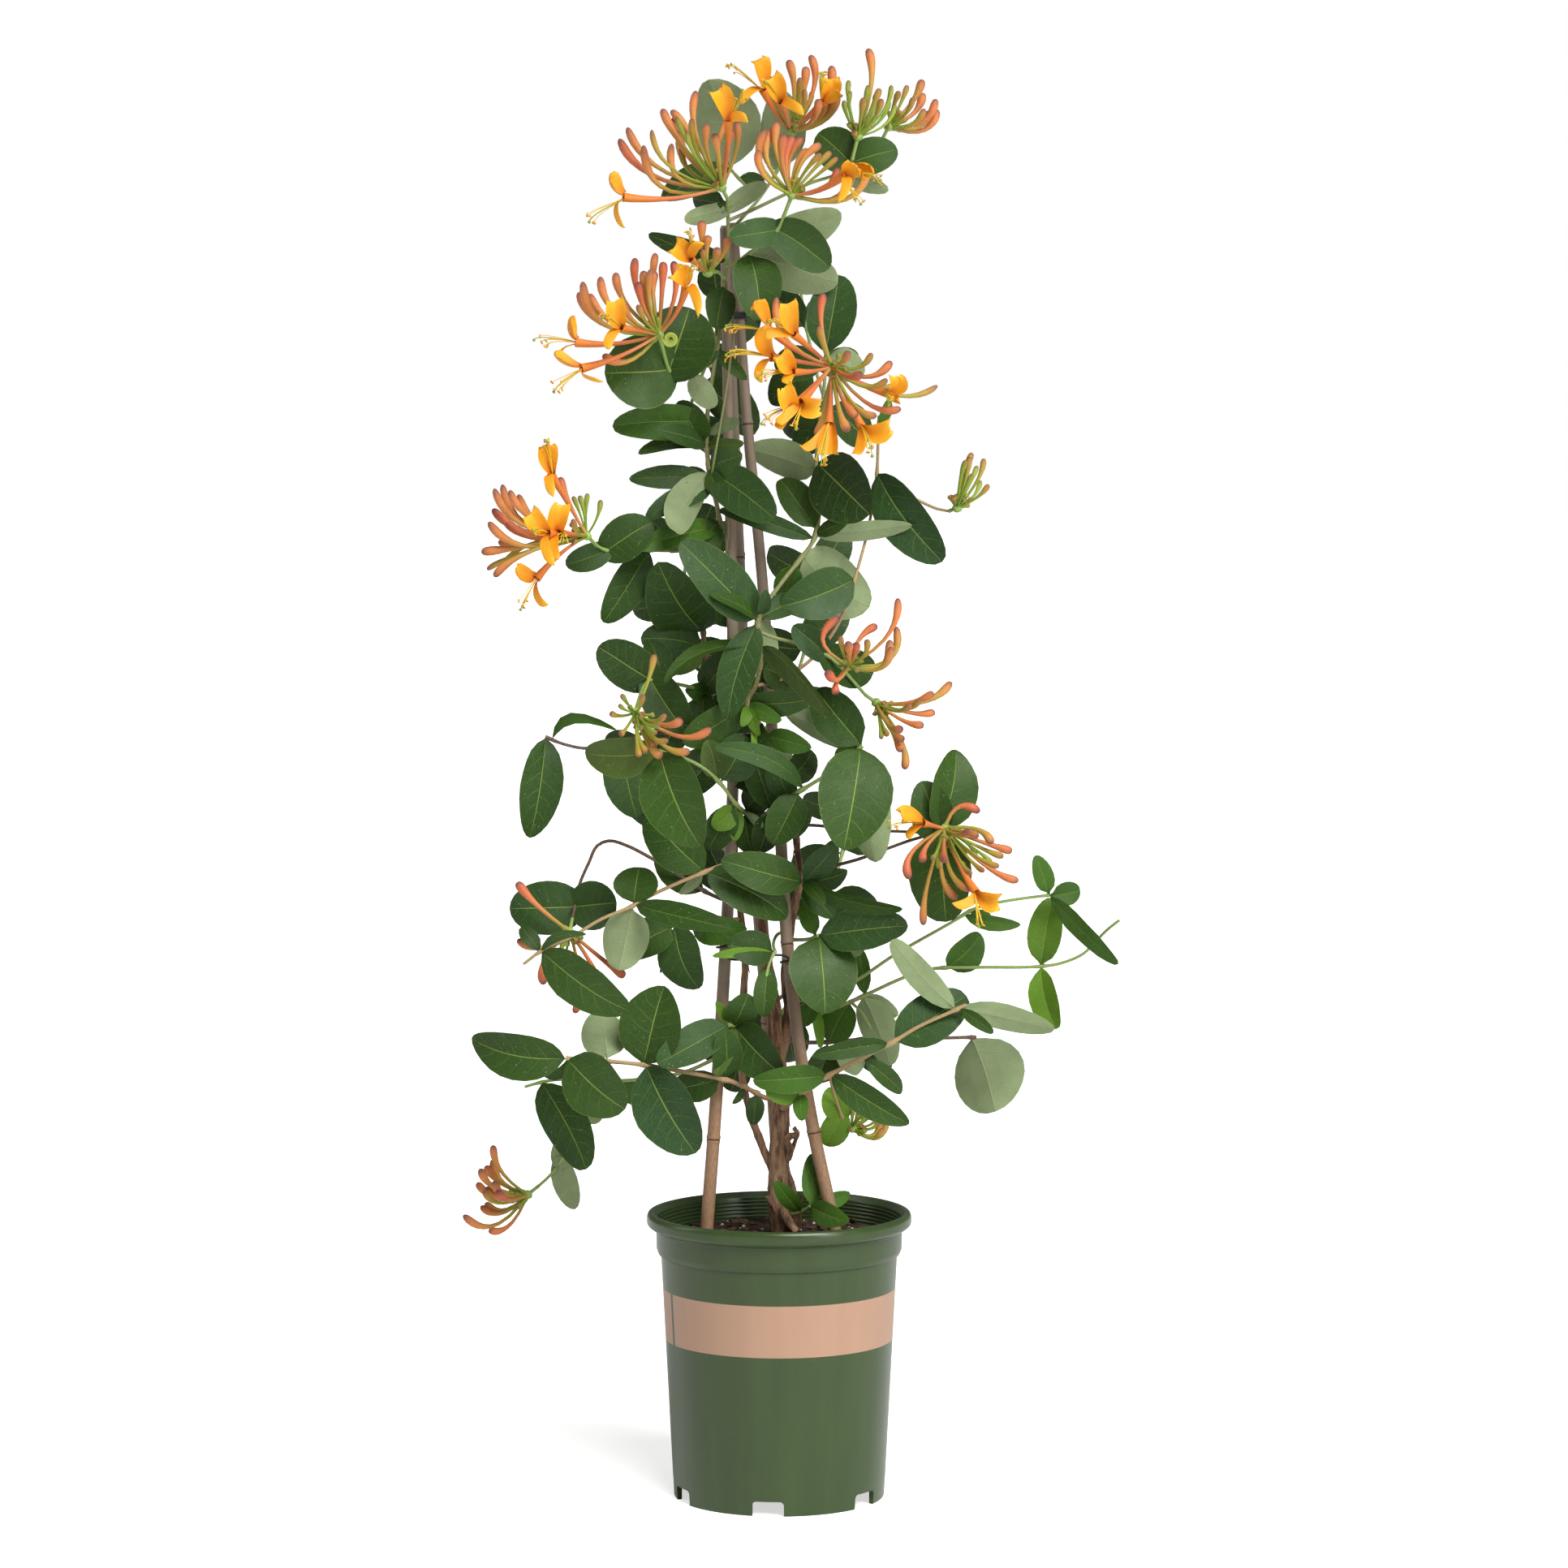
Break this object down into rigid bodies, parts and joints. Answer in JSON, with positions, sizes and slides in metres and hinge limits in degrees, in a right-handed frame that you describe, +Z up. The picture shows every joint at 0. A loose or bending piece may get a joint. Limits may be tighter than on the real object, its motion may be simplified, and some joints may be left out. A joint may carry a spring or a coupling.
{
  "type": "potted honeysuckle vine",
  "caption": "Flowering honeysuckle vine trained up bamboo canes in a soil-filled plastic nursery pot, with separate stems, leaves, flower heads, ties, soil and pot.",
  "frame": {"origin": "middle of the pot's foot, on the plane that it stands on", "axes": "+Z up the plant, -Y towards the plant's best side, +X to the right as seen from that side"},
  "size_m": [0.4175, 0.2094, 0.9126],
  "materials": {
    "pot": "semi-gloss moulded, with a bare tan band",
    "soil": "rough bark and peat",
    "bamboo": "dry satin",
    "wire": "matt coated wire",
    "bark": "rough peeling bark",
    "leaf": "waxy living leaf",
    "flower": "soft living petal"
  },
  "bodies": {
    "root": {"pot": "pot", "soil": "soil", "cane_left": "bamboo", "cane_right": "bamboo", "cane_back": "bamboo", "tie_lower": "wire", "tie_top": "wire", "trunk": "bark", "back_bottom": "leaf", "back_low_left": "leaf", "back_low_right": "leaf", "back_mid_left": "leaf", "back_mid_right": "leaf", "back_top_left": "leaf", "back_top_right": "leaf", "base_sprout": "leaf", "climber_far_right": "leaf", "climber_left": "leaf", "climber_right": "leaf", "head_bottom_left": "flower", "head_bottom_right": "flower", "head_left_high": "flower", "head_left_low": "flower", "head_left_middle": "flower", "head_right_big": "flower", "head_right_high": "flower", "head_right_lower": "flower", "head_right_middle": "flower", "head_right_tip": "flower", "head_top_back": "flower", "head_top_far_right": "flower", "head_top_left": "flower", "head_top_middle": "flower", "head_top_right": "flower", "head_upper_left": "flower", "head_upper_middle": "flower", "spray_bottom_centre": "leaf", "spray_bottom_left": "leaf", "spray_bottom_left_back": "leaf", "spray_bottom_right": "leaf", "spray_bottom_right_back": "leaf", "spray_centre_left": "leaf", "spray_centre_right": "leaf", "spray_far_right_lower": "leaf", "spray_far_right_upper": "leaf", "spray_left": "leaf", "spray_left_high": "leaf", "spray_left_low": "leaf", "spray_left_mid": "leaf", "spray_left_upper": "leaf", "spray_lower_left": "leaf", "spray_middle": "leaf", "spray_right": "leaf", "spray_right_front": "leaf", "spray_right_middle": "leaf", "spray_top_back": "leaf", "spray_top_middle": "leaf", "spray_top_right": "leaf", "spray_upper_left": "leaf"}
  },
  "joints": []
}
